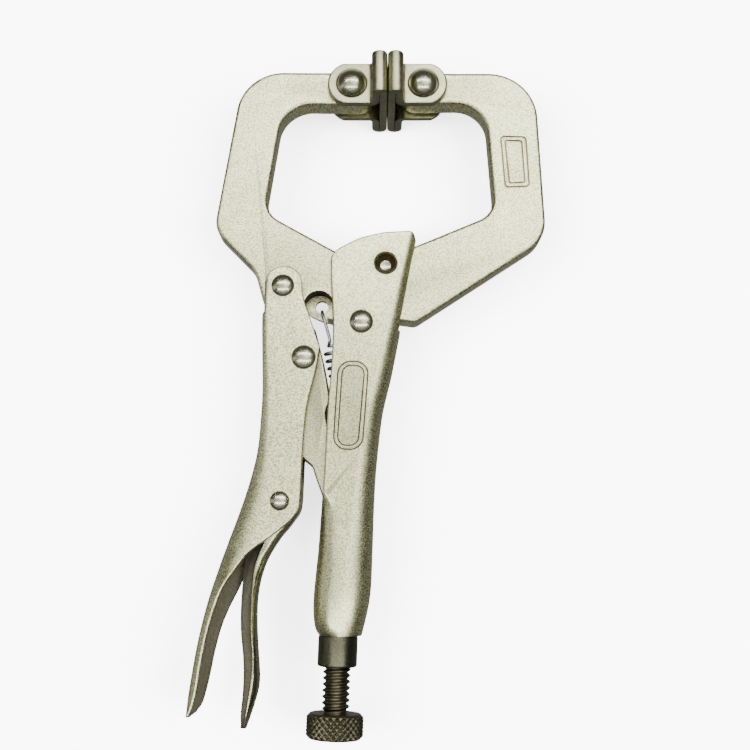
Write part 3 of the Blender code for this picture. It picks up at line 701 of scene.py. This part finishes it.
def pad(node, body, pivot, side):
    """A bent sheet with hemmed ends and an ear on each side of the jaw's tip."""
    face = abs(pivot[0] - (MOVING_PAD_PIVOT[0] + FIXED_PAD_PIVOT[0]) / 2) - PAD_GAP
    leg = face - 2 * PAD_SHEET - 2 * PAD_CREASE

    def beside(x, y):
        """The plan point x from the pivot towards the face, and y along it."""
        return pivot[0] - side * x, pivot[1] + y

    inner = pad_line(face, leg, False)
    back = inner + [(x, -z) for x, z in reversed(inner[:-1])]
    sections = []
    for y, inset in [(-y, inset) for y, inset in PAD_RIM] + [(0, 0.0)] + PAD_RIM[::-1]:
        outer = pad_line(face, leg, True, inset)
        ring = outer + [(x, -z) for x, z in reversed(outer[:-1])] + back[::-1]
        sections.append([at(*beside(x, y), z) for x, z in ring])
    bent = loft(node + "_bent", sections, PAD)
    ear_top = CHEEK_IN + PAD_SHEET + HAIR
    disc = [(*beside(-5.6, 5.3), 5.2), (*beside(-5.6, -5.3), 5.2), (*beside(4.5, -5.3), 0),
            (*beside(4.5, 5.3), 0)]
    trim = plate("trim", rounded(disc), -ear_top, ear_top, 0.55, 5)
    wall = leg - PAD_TURN
    block = [beside(wall, -7), beside(wall, 7), beside(wall + 20, 7), beside(wall + 20, -7)]
    combine(trim, plate("block", block, -FAR, FAR), "UNION")
    combine(bent, trim, "INTERSECT")
    bowl = [(0, 1), (3.95, 1), (3.75, -0.02), (3.3, -0.35), (0, -0.35)]
    for way in (-1, 1):
        profile = [(radius, way * (ear_top + rise)) for radius, rise in bowl]
        combine(bent, turned("bowl", profile, at(*pivot)))
    shade(bent)
    place(bent, PAD, body, "pad_steel", node)


# ---------------------------------------------------------------- screw and spring

def along_screw(distance):
    return SCREW_TOP + SCREW_AXIS * distance * MM


def wrapped(name, radius_at, start, end, around, rows, caps):
    """A round bar on the screw's axis whose radius is radius_at(angle, distance)."""
    model = bmesh.new()
    up = SCREW_AXIS.normalized()
    side = Vector((0, 0, 1))
    other = up.cross(side)
    rings = []
    for distance in steps(start, end, rows):
        ring = []
        for angle in steps(0, 2 * pi, around)[:-1]:
            spoke = side * cos(angle) + other * sin(angle)
            ring.append(model.verts.new(along_screw(distance) + spoke * radius_at(angle, distance) * MM))
        rings.append(ring)
    for ring, following in zip(rings, rings[1:]):
        for i in range(around):
            j = (i + 1) % around
            model.faces.new((ring[i], ring[j], following[j], following[i]))
    for ring, (radius, distance) in ((rings[0], caps[0]), (rings[-1], caps[1])):
        inner = [model.verts.new(along_screw(distance) + (side * cos(a) + other * sin(a)) * radius * MM)
                 for a in steps(0, 2 * pi, around)[:-1]]
        for i in range(around):
            j = (i + 1) % around
            model.faces.new((ring[i], ring[j], inner[j], inner[i]))
        model.faces.new(inner)
    return piece_from(name, model)


THREAD_PITCH = 1.27
THREAD_RADIUS = 2.98
THREAD_DEPTH = 0.62
THREAD_START, THREAD_END = 3.2, 39.4    # along the screw from its inner end
NECK_START, NECK_END = 21.4, 29.7
KNOB_START, KNOB_END = 39.2, 44.4
KNOB_RADIUS = 6.15
KNURLS = 27


def adjusting_screw():
    """The threaded bar, its crests fading out at both ends, and the plain nose that it pushes."""
    def radius_at(angle, distance):
        phase = (distance / THREAD_PITCH - angle / (2 * pi)) % 1.0
        ridge = abs(2 * phase - 1)
        height = min(1.0, max(0.0, 1.35 * ridge - 0.15))
        outer_fade = min(1.0, max(0.0, (THREAD_END - 0.4 - distance) / 0.8))
        inner_fade = min(1.0, max(0.0, distance - THREAD_START))
        return THREAD_RADIUS - THREAD_DEPTH + THREAD_DEPTH * height * outer_fade * inner_fade

    screw = wrapped("adjusting_screw_thread", radius_at, THREAD_START, THREAD_END, 40, 290,
                    ((0.8, THREAD_START), (0.8, THREAD_END)))
    shade(screw, 60)
    place(screw, DARK, "screw", "dark_steel", "adjusting_screw")
    cone = [(0, 0.7), (1.0, 0.75), (1.9, 1.5), (1.95, 2.9), (0, 2.9)]
    nose = turned("screw_nose_cone", cone, SCREW_TOP, SCREW_AXIS)
    shade(nose, 50)
    place(nose, DARK, "screw_nose", "dark_steel", "screw_tip")


def screw_knob():
    """The knob with a crossed knurl and chamfered rims."""
    chamfer = 0.75

    def radius_at(angle, distance):
        edge = min(distance - KNOB_START, KNOB_END - distance)
        limit = KNOB_RADIUS - max(0.0, chamfer - edge)
        around = angle * KNURLS / (2 * pi)
        rise = (distance - KNOB_START) / (2 * pi * KNOB_RADIUS / KNURLS)
        one = abs(2 * ((around + rise) % 1.0) - 1)
        two = abs(2 * ((around - rise) % 1.0) - 1)
        cut = 0.5 * max(0.0, 1.0 - 1.3 * min(one, two))
        return min(limit, KNOB_RADIUS - cut)

    knob = wrapped("knurled_knob", radius_at, KNOB_START, KNOB_END, KNURLS * 10, 44,
                   ((4.9, KNOB_START), (4.9, KNOB_END)))
    shade(knob, 40)
    place(knob, DARK, "screw", "dark_steel", "screw_knob")


def threaded_bushing():
    """The neck at the end of the fixed handle's tube, through which the screw runs."""
    profile = [(2.95, NECK_START), (4.0, NECK_START), (4.0, 23.1), (4.15, 23.25), (4.27, 23.6), (4.27, 29.2),
               (4.1, 29.55), (3.7, NECK_END), (3.2, NECK_END), (2.95, 29.45), (2.95, NECK_START)]
    neck = turned("threaded_neck", profile, SCREW_TOP, SCREW_AXIS)
    shade(neck, 40)
    place(neck, NECK, "frame", "satin_steel", "threaded_bushing")


def tension_spring():
    """A close coil with a long hook to the jaw and a loop on the handle's lug."""
    radius, turns, per_turn = 1.95, 11, 20
    top, bottom = Vector((-6.75, -4.3, -0.6)), Vector((-2.6, -23.0, 0.0))
    direction = (bottom - top).normalized()
    side = direction.cross(Vector((0, 0, 1))).normalized()
    lift = side.cross(direction)
    points = [Vector(p) for p in ((-9.0, 1.9, -3.6), (-9.05, 3.1, -3.75), (-9.1, 3.85, -3.2),
                                  (-9.1, 3.85, -1.4), (-8.95, 3.1, -0.8), (-8.3, 0.9, -0.6),
                                  (-7.45, -2.1, -0.6), (-7.2, -3.0, -0.6))]
    for i in range(turns * per_turn + 1):
        share = i / (turns * per_turn)
        angle = 2 * pi * i / per_turn
        grow = min(1.0, 0.4 + i / per_turn)
        points.append(top + (bottom - top) * share + (side * cos(angle) + lift * sin(angle)) * radius * grow)
    points += [Vector(p) for p in ((-1.6, -24.1, 1.2), (-1.2, -25.4, 1.4), (-1.2, -26.7, 0.8),
                                   (-1.2, -26.9, -0.6), (-1.2, -26.0, -1.3))]
    curve = bpy.data.curves.new("tension_spring_wire", "CURVE")
    curve.dimensions = "3D"
    curve.bevel_depth = 0.38 * MM
    curve.bevel_resolution = 3
    curve.use_fill_caps = True
    spline = curve.splines.new("POLY")
    spline.points.add(len(points) - 1)
    for point, where in zip(spline.points, points):
        point.co = (*at(*where), 1)
    holder = bpy.data.objects.new("tension_spring_path", curve)
    bpy.context.scene.collection.objects.link(holder)
    bpy.context.view_layer.update()
    mesh = bpy.data.meshes.new_from_object(holder.evaluated_get(bpy.context.evaluated_depsgraph_get()))
    bpy.data.objects.remove(holder, do_unlink=True)
    wire = bpy.data.objects.new("tension_spring_wire", mesh)
    bpy.context.scene.collection.objects.link(wire)
    mesh.shade_smooth()
    mesh.materials.clear()
    mesh.materials.append(WIRE)
    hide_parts("tension_spring")
    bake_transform(wire)


# ---------------------------------------------------------------- stage

def stage():
    """A plain pale floor, kept out of the metal's reflections."""
    model = bmesh.new()
    bmesh.ops.create_grid(model, x_segments=1, y_segments=1, size=3.0)
    floor = piece_from("floor", model)
    floor.location.z = -0.0002
    floor.visible_glossy = False
    paper = bpy.data.materials.new("pale_paper")
    paper.use_nodes = True
    shader = paper.node_tree.nodes["Principled BSDF"]
    shader.inputs["Base Color"].default_value = (0.95, 0.95, 0.95, 1)
    shader.inputs["Roughness"].default_value = 1.0
    shader.inputs["Specular IOR Level"].default_value = 0.0
    shader.inputs["Emission Color"].default_value = (1, 1, 1, 1)
    shader.inputs["Emission Strength"].default_value = 2.4
    floor.data.materials.append(paper)


def area_light(name, location, target, size_x, size_y, power, on_metal=True):
    lamp = bpy.data.lights.new(name, "AREA")
    lamp.shape = "RECTANGLE"
    lamp.size = size_x
    lamp.size_y = size_y
    lamp.energy = power
    thing = bpy.data.objects.new(name, lamp)
    thing.location = location
    thing.rotation_euler = (Vector(target) - Vector(location)).to_track_quat("-Z", "Y").to_euler()
    thing.visible_glossy = on_metal
    bpy.context.scene.collection.objects.link(thing)


SKY = [(0.0, 0.24), (0.42, 0.22), (0.52, 0.09), (0.70, 0.11), (0.82, 0.36), (0.92, 0.95), (1.0, 1.35)]


def sky():
    """A room that is dark at the sides and bright overhead."""
    world = bpy.data.worlds.new("studio")
    bpy.context.scene.world = world
    world.use_nodes = True
    tree = world.node_tree
    way = tree.nodes.new("ShaderNodeTexCoord").outputs["Generated"]
    split = tree.nodes.new("ShaderNodeSeparateXYZ")
    link(tree, way, split.inputs[0])
    height = tree.nodes.new("ShaderNodeMapRange")
    height.inputs["From Min"].default_value = -1.0
    link(tree, split.outputs["Z"], height.inputs["Value"])
    ramp = tree.nodes.new("ShaderNodeValToRGB")
    stops = ramp.color_ramp.elements
    while len(stops) < len(SKY):
        stops.new(0.5)
    for stop, (position, light) in zip(stops, SKY):
        stop.position = position
        stop.color = (light, light, light * 0.98, 1)
    link(tree, height.outputs["Result"], ramp.inputs["Fac"])
    link(tree, ramp.outputs["Color"], tree.nodes["Background"].inputs["Color"])


def lights():
    sky()
    area_light("key", (0.25, 0.3, 0.7), (0, 0, 0), 0.6, 0.6, 2.6)
    area_light("left_fill", (-0.7, 0.0, 0.12), (0, 0, 0.02), 0.25, 0.8, 0.5)
    for name, y in (("strip_above", 0.34), ("strip_below", -0.20)):
        area_light(name, (0, y, 0.6), (0, 0, 0), 1.0, 0.05, 3.2)
    for side in (-1, 1):
        area_light(f"floor_light_{side + 2}", (side * 1.0, -0.2, 1.4), (0, 0, 0), 1.2, 1.2, 120, False)


def camera():
    """Looks down from over the handles, tilted a little towards the jaws."""
    height = 0.2314
    tilt = radians(11.0)
    foot = PIVOT + Vector((3.07, -56.28, 0)) * MM
    lens = bpy.data.cameras.new("camera")
    lens.lens = 50
    lens.sensor_width = 36
    lens.clip_start = 0.01
    thing = bpy.data.objects.new("camera", lens)
    thing.location = foot + Vector((0, 0, height))
    thing.rotation_euler = (tilt, 0, 0)
    bpy.context.scene.collection.objects.link(thing)
    bpy.context.scene.camera = thing


camera()
lights()
stage()
fixed_jaw()
movable_jaw()
fixed_handle()
stake_cups()
movable_handle()
toggle_link()
release_lever()
rivet("jaw_pivot_rivet", "frame", (0, 0), 2.65, CHEEK_OUT, 1.0, 2.3)
rivet("handle_rivet", "handle", HANDLE_PIVOT, 2.55, CHEEK_OUT, 1.0, 2.1)
rivet("link_rivet", "handle", LINK_PIVOT, 2.7, CHEEK_OUT, 1.0, 2.1)
rivet("lever_rivet", "handle", LEVER_PIVOT, 2.1, CHEEK_OUT, 0.8, 1.5)
rivet("moving_pad_rivet", "jaw", MOVING_PAD_PIVOT, 3.2, CHEEK_IN + PAD_SHEET, 1.6, 1.7)
rivet("fixed_pad_rivet", "frame", FIXED_PAD_PIVOT, 3.2, CHEEK_IN + PAD_SHEET, 1.6, 1.7)
pad("moving_pad", "jaw_pad", MOVING_PAD_PIVOT, -1)
pad("fixed_pad", "frame_pad", FIXED_PAD_PIVOT, 1)
adjusting_screw()
screw_knob()
threaded_bushing()
tension_spring()
